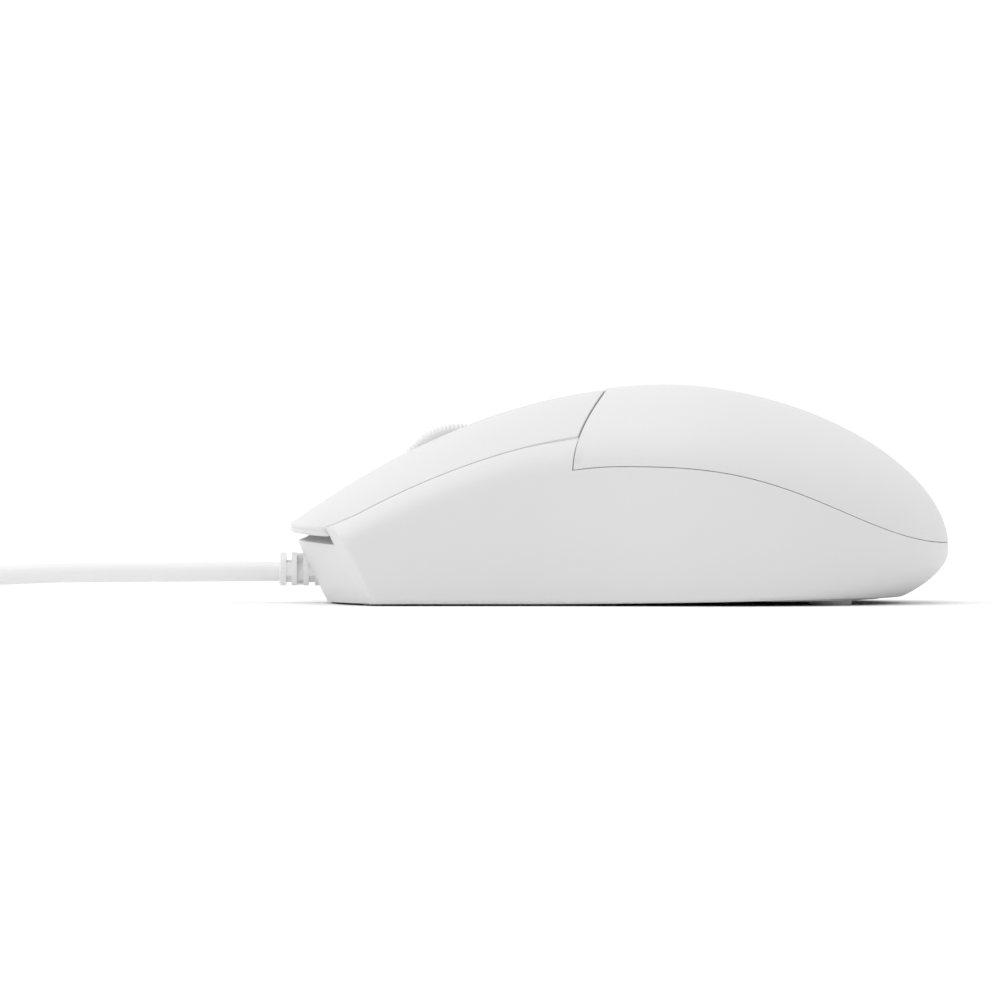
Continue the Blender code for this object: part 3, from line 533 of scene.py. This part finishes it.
def ledge_rim(spot):
    """The front wall's sloping top, as distance in and height, then its drop to the inside."""
    rise = [(0.08, 0.12), (0.3, 0.3), (0.8, 0.65), (1.3, 1.0), (1.8, 1.35), (2.3, 1.7),
            (2.8, 2.0), (3.1, 2.05), (3.3, 1.7), (3.35, 0.0)]
    share = spot[1] / POST_Y
    lift = LEDGE_RISE * (1.0 - share**2)
    slope = 1.0 - 0.6 * share**4
    return [(*place_on(spot, a, 0.0, 0.0), LEDGE_Z + slope * z + lift * max(0.0, 1.0 - 0.7 * a))
            for a, z in rise]


def shoulder_rim(spot, px, py):
    """The shoulder, which carries the top surface in to the button's seam."""
    wide = half_width(px)
    last = min((edge_y(px) + RIM_GAP) / wide, py / wide)
    first = math.acos(min(1.0, py / wide))
    fade = smooth((px + 18.0) / 8.0)
    rows = []
    for i in range(RIM_STEPS):
        share = math.cos(first + (math.acos(last) - first) * (i + 1) / RIM_STEPS)
        x = px + fade * SEAM_SWEEP * (1.0 - share**2)
        rows.append((x, min(wide * share, py), top_at(px, share)))
    x, y, z = rows[-1]
    lean = 0.0 if spot[0] == "side" else POST_LEAN
    rows.append((x + 2.2 * lean, y - 0.02, z - 2.2))
    return rows


def rim_at(spot, px, py, ledge):
    """The rim: the ledge under the lip, the shoulder beside a button, or the palm's seat."""
    if ledge:
        return ledge_rim(spot)
    if px <= PALM_START:
        return shoulder_rim(spot, px, py)
    rows = [0.04 + 1.7 * i / RIM_STEPS for i in range(RIM_STEPS + 1)]
    return [(*place_on(spot, 0.0, a, a), equator(px) - 0.09 - SEAT_FALL * a / WALL)
            for a in rows]


def build_side_shell(look):
    left = [section_at(spot) for spot in half_outline()]
    near = [[(x, -y, z) for x, y, z in section] for section in left]
    far = list(reversed(left[1:-1]))
    return ring_piece("side_shell_skin", near + far, look, "housing",
                      ("side_shell",), 0.12)


# ---- the palm cover ----
def palm_rays():
    """Lines over the plan from the cover's middle to its edge, and whether that edge is seated."""
    spine_front, spine_rear = 7.0, 34.0
    rays = []
    for i in range(-40, 41):
        share = math.sin(QUARTER * i / 40)
        x = SEAM_X - SEAM_SWEEP * share**2 + 0.1
        rays.append(((spine_front, 0.0), (x, share * half_width(x)), abs(share) > 0.9999))
    edge = [(x, half_width(x)) for x in np.arange(-6.8, WIDE_X - 0.5, 1.5)] + tail_outline(48)
    for x, y in edge + [(x, -y) for x, y in reversed(edge[:-1])]:
        rays.append(((min(spine_rear, max(spine_front, x)), 0.0), (x, y), True))
    return rays


def build_palm_cover(look):
    rays = palm_rays()
    rings = 30
    outer, inner = [], []
    for (sx, sy), (ex, ey), seated in rays:
        for k in range(rings + 1):
            reach = math.sin(QUARTER * k / rings)
            x, y = sx + (ex - sx) * reach, sy + (ey - sy) * reach
            z = top_height(x, y)
            if k == rings and seated:
                z = equator(x) + 0.07
                out = np.array([*plan_normal(x, y), SEAT_FALL / WALL])
            else:
                out = top_normal(x, y)
            outer.append((x, y, z))
            inner.append(tuple(np.array([x, y, z]) - WALL * out))
    rows = rings + 1
    faces = []
    for i in range(len(rays)):
        j = (i + 1) % len(rays)
        for k in range(rings):
            faces.append((i * rows + k, i * rows + k + 1, j * rows + k + 1, j * rows + k))
    return two_skins("palm_cover_skin", outer, inner, faces, look, "housing",
                     ("palm_cover",), 0.14, 50.0)


# ---- the buttons and the strip between them ----
def lip_profile():
    """The lip's front face from below to above, as distance behind its line and height."""
    turns = np.linspace(0.0, QUARTER, 6)
    low = [(LIP_ROUND * (1.0 - math.sin(a)), -LIP_HALF + LIP_ROUND * (1.0 - math.cos(a)))
           for a in turns]
    groove = [(0.0, -0.05), (0.09, 0.0), (0.09, 0.08), (0.0, 0.13)]
    high = [(LIP_ROUND * (1.0 - math.cos(a)), LIP_HALF - LIP_ROUND * (1.0 - math.sin(a)))
            for a in turns]
    return low + groove + high


def build_button(side, look):
    """A button from its lip to the palm cover: first the lip's front face, then the top."""
    word = "left" if side < 0 else "right"
    nose = lip_profile()
    behind = np.linspace(0.0, 1.0, 90)[1:]
    rows = 34
    outer, inner = [], []
    columns = len(nose) + len(behind)
    for i in range(columns):
        for j in range(rows):
            v = j / (rows - 1)
            y = (STRIP_HALF + 0.3) * (1 - v) + v * EDGE_SHARE * WAIST
            wide = y + v * EDGE_SHARE * (half_width(BUTTON_REAR_X) - WAIST)
            x0, x1 = lip_x(y), seam_x(wide) - PALM_GAP
            if i < len(nose):
                back, up = nose[i]
                y += v * (edge_y(x0) - EDGE_SHARE * WAIST)
                z = top_height(x0 + LIP_ROUND, y) - LIP_HALF
                outer.append((x0 + back, side * y, z + up))
                inner.append((x0 + LIP_ROUND + 0.02 + 0.06 * i, side * y,
                              z - LIP_HALF + 0.012 * i))
                continue
            reach = behind[i - len(nose)]
            x = x0 + LIP_ROUND + (x1 - x0 - LIP_ROUND) * reach
            y += v * (edge_y(x) - EDGE_SHARE * WAIST)
            thick = BUTTON_WALL + 0.2 * smooth((x0 + 9.0 - x) / 9.0)
            drop = thick / max(0.82, top_normal(x, y)[2])
            under = x0 + 1.9 + (x1 - x0 - 1.9) * reach
            outer.append((x, side * y, top_height(x, y)))
            inner.append((under, side * y, top_height(under, y) - drop))
    return two_skins(f"{word}_button_skin", outer, inner, grid_faces(columns, rows), look,
                     f"{word}_button_body", (f"{word}_button",), 0.12, 60.0)


def build_centre_strip(look):
    """The strip from its rounded nose to the palm cover, with the wheel's slot left open."""
    nose, ahead, beside, behind = 6, 23, 36, 21
    xs = [FRONT_TIP_X + 0.4 + 0.8 * (1.0 - math.cos(QUARTER * k / nose)) for k in range(nose + 1)]
    xs += list(np.linspace(-57.0, SLOT_X0, ahead + 1))[1:]
    xs += list(np.linspace(SLOT_X0, SLOT_X1, beside + 1))[1:]
    xs += list(np.linspace(SLOT_X1, STRIP_REAR_X, behind + 1))[1:]
    half = [4.8, SLOT_HALF, 2.1]
    ys = [-STRIP_HALF, *[-y for y in half], 0.0, *reversed(half), STRIP_HALF]
    outer, inner = [], []
    for i, x in enumerate(xs):
        reach = max(0.5 * STRIP_THICK * math.sin(QUARTER * min(i, nose) / nose), 0.02)
        for y in ys:
            middle = top_height(x, y) - STRIP_SUNK - 0.5 * STRIP_THICK
            outer.append((x, y, middle + reach))
            inner.append((x, y, middle - reach))
    slot = {(i, j) for i in range(nose + ahead, nose + ahead + beside) for j in (2, 3, 4, 5)}
    return two_skins("centre_strip_skin", outer, inner, grid_faces(len(xs), len(ys), slot), look,
                     "housing", ("centre_strip",), 0.12, 60.0)


# ---- the wheel and its spring ----
def build_tyre(look):
    """The tyre: two knurled shoulders with a plain band between them."""
    r = WHEEL_R
    half = [(TYRE_HALF, r - 1.3), (3.3, r - 0.75), (2.95, r - 0.3), (2.4, r - 0.06), (1.6, r),
            (1.1, r - 0.05), (0.9, r - 0.3)]
    profile = [(0.5 * k * TYRE_HALF, TYRE_BORE) for k in range(-2, 3)]
    profile += half + [(0.0, r - 0.32)] + [(-along, radius) for along, radius in reversed(half)]
    sections = []
    count = len(TOOTH) * WHEEL_TEETH
    for i in range(count):
        turn = TURN * i / count
        section = []
        for along, radius in profile:
            cut = TOOTH[i % len(TOOTH)]
            cut *= smooth((radius - r + 1.1) / 0.7) * smooth((abs(along) - 0.8) / 0.3)
            section.append((WHEEL_X + (radius - cut) * math.cos(turn), along,
                            WHEEL_Z + (radius - cut) * math.sin(turn)))
        sections.append(section)
    return ring_piece("wheel_tyre_skin", sections, look, "wheel_body", ("wheel_tyre",))


def build_spring(look):
    steps, around = SPRING_TURNS * 28, 10
    points = []
    for i in range(steps + 1):
        turn = TURN * SPRING_TURNS * i / steps
        c, s = math.cos(turn), math.sin(turn)
        z = SPRING_LOW + (SPRING_HIGH - SPRING_LOW) * i / steps
        for k in range(around):
            a = TURN * k / around
            r = SPRING_R + SPRING_WIRE * math.cos(a)
            points.append((SPRING_AT[0] + r * c, SPRING_AT[1] + r * s,
                           z + SPRING_WIRE * math.sin(a)))
    faces = ring_faces(steps + 1, around, False)
    faces += [tuple(range(around)), tuple(steps * around + k for k in reversed(range(around)))]
    wire = piece("cradle_spring_wire", points, faces, look, "housing",
                 ("cradle_spring",))
    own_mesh(wire)


# ---- the strain relief and the cable ----
def build_relief(look):
    """Rings joined by pairs of bridges, at the sides and then above and below, in turn."""
    edge = math.asin(BRIDGE_HALF / RELIEF_R)
    turns = list(np.linspace(0.0, TURN, 72, endpoint=False))
    for k in range(4):
        for away in (-edge, edge):
            turns += [QUARTER * k + away - 0.012, QUARTER * k + away + 0.012]
    turns = sorted({round(t % TURN, 5) for t in turns})
    sections = []
    for turn in turns:
        c, s = math.cos(turn), math.sin(turn)
        solid = (abs(s) * RELIEF_R < BRIDGE_HALF, abs(c) * RELIEF_R < BRIDGE_HALF)
        # Each point is a place along, a radius, and whether it is centred on the outside.
        section = [(RELIEF_X, RELIEF_BORE, False), (RELIEF_X, RELIEF_R - RELIEF_ROUND, True),
                   (RELIEF_X + RELIEF_ROUND, RELIEF_R, True)]
        for x0, x1, crosswise in RELIEF_GAPS:
            bridge, gap = (RELIEF_R - BRIDGE_SUNK, True), (RELIEF_FLOOR, False)
            depth = bridge if solid[crosswise] else gap
            section += [(x0 - 0.02, RELIEF_R, True), (x0, *depth), (x1, *depth),
                        (x1 + 0.02, RELIEF_R, True)]
        section += [(RELIEF_END_X, RELIEF_R, True), (RELIEF_END_X, RELIEF_BORE, False)]
        sections.append([(x, r * c, (RELIEF_Z if outside else CABLE_Z) + r * s)
                         for x, r, outside in section])
    return ring_piece("strain_relief_skin", sections, look, "housing",
                      ("strain_relief",))


def coil_path(low):
    """The bound turns: each layer winds from its first radius to its last, then climbs."""
    found = []
    last = len(COIL_LAYERS) - 1
    for level, ((r0, r1), count) in enumerate(zip(COIL_LAYERS, COIL_TURNS)):
        lanes = np.linspace(r0, r1, count)
        for i in range(count * COIL_POINTS):
            done = i / (count * COIL_POINTS) * count
            lane = min(count - 1, int(done))
            slide = smooth((done - lane - 0.8) / 0.2)
            rise = 0.0
            if lane + 1 < count:
                after = lanes[lane + 1]
            elif level < last:
                after = COIL_LAYERS[level + 1][0]
                rise = LAYER_RISE * slide
            else:
                after = r1
            turn = -QUARTER - TURN * len(found) / COIL_POINTS
            r = lanes[lane] + (after - lanes[lane]) * slide
            found.append((COIL_X + r * math.cos(turn), COIL_Y + r * math.sin(turn),
                          low + LAYER_RISE * level + rise))
    return found


def cable_path():
    """The whole cable: out of the relief, along the floor, the coil, then the plug's tail."""
    low = 0.5 * CABLE_D + CABLE_LIFT
    top = low + LAYER_RISE * (len(COIL_LAYERS) - 1)
    leave_y = COIL_Y - COIL_LAYERS[-1][1]
    lead = [(-51.8, 0.0, CABLE_Z), (-58.0, 0.0, 5.58), (-66.0, 0.0, 5.52), (-76.0, 0.0, 5.47),
            (-88.0, 0.0, 5.4), (-100.0, 0.0, 5.3), (-112.0, -0.1, 4.8), (-121.0, -0.5, 3.8),
            (-130.0, -1.2, 2.8), (-140.0, -2.0, low)]
    tail = [(COIL_X, leave_y, top), (COIL_X - 7.0, leave_y, top),
            (COIL_X - 13.5, leave_y + 0.1, top - 0.2), (COIL_X - 20.0, leave_y + 0.5, top - 2.2),
            (COIL_X - 27.0, leave_y + 2.0, top - 5.2), (COIL_X - 34.0, leave_y + 4.2, 4.2),
            (PLUG_X + 20.6, PLUG_Y, PLUG_Z), (PLUG_X + 14.0, PLUG_Y, PLUG_Z)]
    return lead + coil_path(low) + tail


def build_cable(look):
    path = cable_path()
    data = bpy.data.curves.new("usb_cable", "CURVE")
    data.dimensions = "3D"
    data.bevel_depth = 0.5 * CABLE_D * MM
    data.bevel_resolution = 4
    data.use_fill_caps = True
    line = data.splines.new("POLY")
    line.points.add(len(path) - 1)
    for point, place in zip(line.points, path):
        point.co = (*(float(v) * MM for v in place), 1.0)
    line.use_smooth = True
    made = bpy.data.objects.new("usb_cable", data)
    data.materials.append(look)
    bpy.context.scene.collection.objects.link(made)
    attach(made, "housing")
    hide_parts("cable_lead", "cable_coil", "cable_tail")
    return made


# ---- the stage ----
def add_stage():
    """A white floor, a white studio that is dimmer on the camera's side, and light from above."""
    bpy.ops.mesh.primitive_plane_add(size=FLOOR_SIZE, location=(0.0, 0.0, -0.00002))
    floor = bpy.context.object
    floor.name = "floor"
    look = moulded("floor_paper", grey(FLOOR_WHITE), 0.9, 1.0, 0.0, 0.0)
    shader = look.node_tree.nodes["Principled BSDF"]
    shader.inputs["Specular IOR Level"].default_value = 0.0
    floor.data.materials.append(look)
    world = bpy.data.worlds.new("studio")
    world.use_nodes = True
    tree = world.node_tree
    place = tree.nodes.new("ShaderNodeTexCoord")
    split = tree.nodes.new("ShaderNodeSeparateXYZ")
    tree.links.new(place.outputs["Generated"], split.inputs["Vector"])
    depth = mapped(tree, split.outputs["Y"], -0.9, 0.0, FRONT_LIGHT, BACK_LIGHT)
    beside = mapped(tree, split.outputs["X"], -1.0, -0.1, SIDE_LIGHT, 0.0)
    both = tree.nodes.new("ShaderNodeMath")
    both.operation = "ADD"
    tree.links.new(beside, both.inputs[0])
    tree.links.new(depth, both.inputs[1])
    background = tree.nodes["Background"]
    background.inputs["Color"].default_value = (1.0, 1.0, 1.0, 1.0)
    tree.links.new(both.outputs["Value"], background.inputs["Strength"])
    bpy.context.scene.world = world
    sun = bpy.data.lights.new("overhead", "SUN")
    sun.energy = TOP_LIGHT
    sun.angle = math.radians(70.0)
    lamp = bpy.data.objects.new("overhead", sun)
    lamp.rotation_euler = (*[math.radians(a) for a in TOP_LIGHT_LEAN], 0.0)
    bpy.context.scene.collection.objects.link(lamp)


def finish_nodes(looks):
    """Gives every CAD node that is still shown the look whose word is in its name."""
    for node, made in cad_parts.items():
        if not made.hide_render:
            look = next(look for word, look in looks.items() if word in node)
            for place in made.material_slots:
                place.material = look


bpy.context.scene.view_settings.view_transform = "Standard"
add_camera()
# Each look has a name, colour, roughness, grain, relief and variation, and a coat if it has one.
SKIN_LOOKS = {
    "shell": moulded("shell_white", grey(0.69), 0.45, 0.22, 0.012, 0.012),
    "button": moulded("button_white", grey(0.665), 0.42, 0.22, 0.012, 0.012),
    "palm": moulded("palm_white", grey(0.69), 0.55, 0.42, 0.06, 0.02),
    "strip": moulded("strip_white", grey(0.68), 0.42, 0.22, 0.01, 0.012),
    "tyre": moulded("tyre_rubber", grey(0.80), 0.65, 0.15, 0.015, 0.03),
    "cable": moulded("cable_sheath", grey(0.80), 0.5, 0.4, 0.015, 0.02),
    "relief": moulded("relief_white", grey(0.80), 0.5, 0.3, 0.012, 0.02),
}
NODE_LOOKS = {
    "base_plate": moulded("base_white", grey(0.74), 0.5, 0.3, 0.02, 0.02),
    "foot": moulded("foot_slick", grey(0.72), 0.28, 0.6, 0.006, 0.03, 0.2),
    "board_screw": plated("board_screw_steel", (0.52, 0.52, 0.53), 0.32, 0.12, 0.004, 0.06),
    "case_screw": plated("case_screw_steel", (0.30, 0.30, 0.31), 0.38, 0.12, 0.004, 0.06),
    "main_board": moulded("solder_mask", (0.02, 0.17, 0.07), 0.34, 0.8, 0.004, 0.12, 0.5),
    "controller_chip": moulded("chip_epoxy", (0.022, 0.022, 0.024), 0.55, 0.1, 0.006, 0.1),
    "sensor_chip": moulded("sensor_epoxy", (0.030, 0.030, 0.034), 0.48, 0.1, 0.006, 0.1),
    "sensor_lens": moulded("lens_clear", (0.78, 0.81, 0.83), 0.08, 2.0, 0.002, 0.02, 0.6),
    "switch": moulded("switch_black", (0.035, 0.035, 0.037), 0.45, 0.2, 0.008, 0.08),
    "plunger": moulded("plunger_white", (0.74, 0.74, 0.70), 0.40, 0.15, 0.006, 0.02),
    "cradle_spring": plated("spring_wire", (0.60, 0.60, 0.61), 0.28, 0.08, 0.004, 0.05),
    "wheel_cradle": moulded("cradle_black", (0.045, 0.045, 0.047), 0.48, 0.25, 0.010, 0.06),
    "wheel_hub": moulded("hub_white", grey(0.72), 0.42, 0.25, 0.008, 0.02),
    "wheel_axle": plated("axle_steel", (0.62, 0.62, 0.63), 0.25, 0.1, 0.004, 0.05),
    "ir_": moulded("led_epoxy", (0.42, 0.44, 0.52), 0.12, 1.2, 0.002, 0.06, 0.7),
    "crystal": plated("crystal_can", (0.66, 0.66, 0.68), 0.24, 0.15, 0.003, 0.04),
    "capacitor": moulded("capacitor_sleeve", (0.10, 0.11, 0.16), 0.35, 0.4, 0.004, 0.10, 0.3),
    "cable_connector": moulded("connector_nylon", (0.78, 0.77, 0.72), 0.45, 0.25, 0.008, 0.03),
    "cable_inner": moulded("inner_sheath", grey(0.70), 0.55, 0.4, 0.012, 0.03),
    "cable_tie": moulded("tie_black", (0.030, 0.030, 0.031), 0.50, 0.5, 0.02, 0.10),
    "usb_overmould": moulded("plug_sheath", grey(0.79), 0.48, 0.3, 0.012, 0.02),
    "usb_shell": plated("plug_metal", (0.70, 0.70, 0.71), 0.22, 0.3, 0.003, 0.04),
    "usb_tongue": moulded("plug_tongue", grey(0.76), 0.42, 0.2, 0.006, 0.02),
    "usb_contacts": plated("plug_gold", (0.86, 0.64, 0.28), 0.22, 0.15, 0.003, 0.05),
}

build_relief(SKIN_LOOKS["relief"])
cable = build_cable(SKIN_LOOKS["cable"])
build_side_shell(SKIN_LOOKS["shell"])
build_palm_cover(SKIN_LOOKS["palm"])
build_button(-1, SKIN_LOOKS["button"])
build_button(1, SKIN_LOOKS["button"])
build_centre_strip(SKIN_LOOKS["strip"])
build_tyre(SKIN_LOOKS["tyre"])
build_spring(NODE_LOOKS["cradle_spring"])
finish_nodes(NODE_LOOKS)
add_stage()
